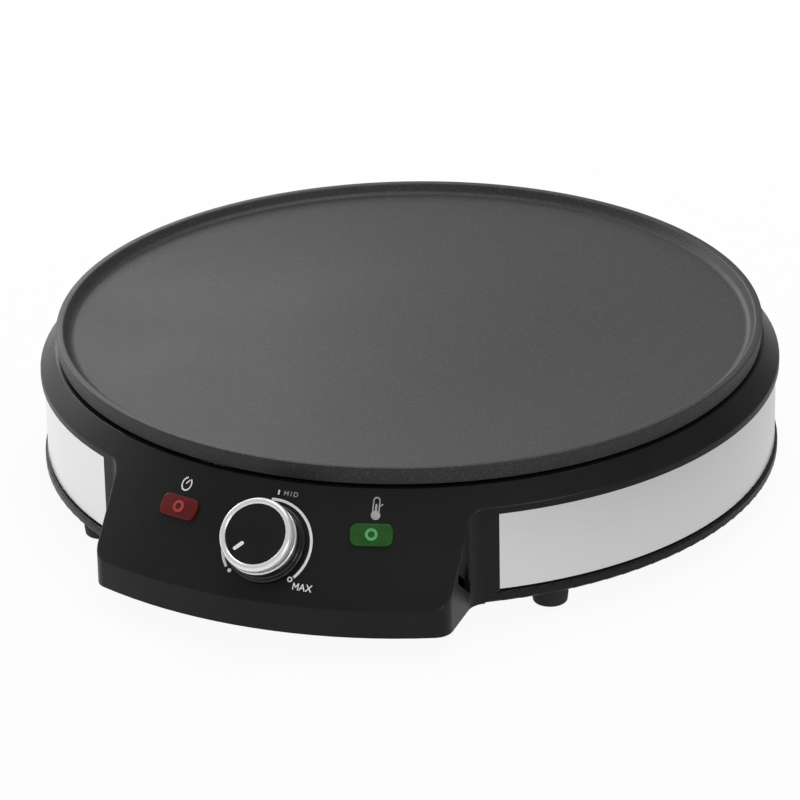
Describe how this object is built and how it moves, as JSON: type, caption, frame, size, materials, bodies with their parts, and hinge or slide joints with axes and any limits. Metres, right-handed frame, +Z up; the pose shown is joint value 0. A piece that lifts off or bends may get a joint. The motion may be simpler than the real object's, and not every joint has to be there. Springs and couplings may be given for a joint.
{
  "type": "electric crepe maker",
  "caption": "Countertop crepe maker: round rimmed baking plate on a black housing with a steel band, a sloping front panel, a thermostat knob and indicator lenses.",
  "frame": {"origin": "on the surface that the feet stand on, under the middle of the part's box; the plate's axis is 15.5 mm behind it", "axes": "+Z up, -Y towards the control panel at the front, +X to the right seen from the front"},
  "size_m": [0.3146, 0.347, 0.0673],
  "materials": {
    "coated_plate": "dark satin non-stick coating on cast aluminium",
    "black_housing": "black moulded heat-resistant plastic, fine satin",
    "band_steel": "stainless steel brushed along its length",
    "tray_plastic": "black moulded plastic",
    "foot_rubber": "black rubber",
    "knob_plastic": "dark plated and moulded plastic",
    "knob_chrome": "bright plated",
    "knob_insert": "black satin with a white pointer mark",
    "red_lens": "clear red moulded lens",
    "green_lens": "clear green moulded lens",
    "element_steel": "heat-darkened steel tube",
    "zinc_steel": "zinc-plated steel",
    "shield_steel": "bright aluminised steel sheet",
    "ceramic": "white ceramic",
    "copper": "bare copper",
    "nylon": "natural nylon",
    "lamp_glass": "clear glass",
    "live_wire": "brown insulation",
    "neutral_wire": "blue insulation",
    "heater_wire": "white glass-fibre sleeve",
    "earth_wire": "green and yellow insulation",
    "gland_rubber": "black rubber"
  },
  "bodies": {
    "root": {"baking_plate": "coated_plate", "base_tray": "tray_plastic", "bulb_clip": "zinc_steel", "bulb_clip_screw": "zinc_steel", "capillary": "copper", "clamp_screws": "zinc_steel", "cord_clamp": "nylon", "cord_clamp_screws": "zinc_steel", "cord_gland": "gland_rubber", "earth_tag": "zinc_steel", "element_clamp_1": "zinc_steel", "element_clamp_2": "zinc_steel", "element_clamp_3": "zinc_steel", "element_seals": "ceramic", "element_tabs": "zinc_steel", "foot_1": "foot_rubber", "foot_2": "foot_rubber", "foot_3": "foot_rubber", "foot_4": "foot_rubber", "foot_screws": "zinc_steel", "fuse_clip": "zinc_steel", "green_holder": "nylon", "green_lamp": "lamp_glass", "green_lens": "green_lens", "heat_shield": "shield_steel", "heating_element": "element_steel", "housing": "black_housing", "lamp_wires": "heater_wire", "plate_screws": "zinc_steel", "plate_spacer_1": "zinc_steel", "plate_spacer_2": "zinc_steel", "plate_spacer_3": "zinc_steel", "plate_spacer_4": "zinc_steel", "red_holder": "nylon", "red_lamp": "lamp_glass", "red_lens": "red_lens", "sensor_bulb": "copper", "shield_screws": "zinc_steel", "steel_band": "band_steel", "terminal_block": "nylon", "terminal_screws": "zinc_steel", "thermal_fuse": "ceramic", "thermostat": "zinc_steel", "thermostat_screws": "zinc_steel", "tray_screws": "zinc_steel", "wire_cutout": "heater_wire", "wire_earth": "earth_wire", "wire_heater": "heater_wire", "wire_live": "live_wire", "wire_neutral": "neutral_wire"},
    "knob": {"knob_body": "knob_plastic", "knob_ring": "knob_chrome", "knob_face": "knob_insert", "thermostat_spindle": "zinc_steel"}
  },
  "joints": [
    {"name": "knob_turn", "type": "hinge", "parent": "root", "child": "knob", "pos_m": [0, -0.15253, 0.03896], "axis": [0, 0.7529, -0.6581], "range_deg": [0, 270]}
  ]
}
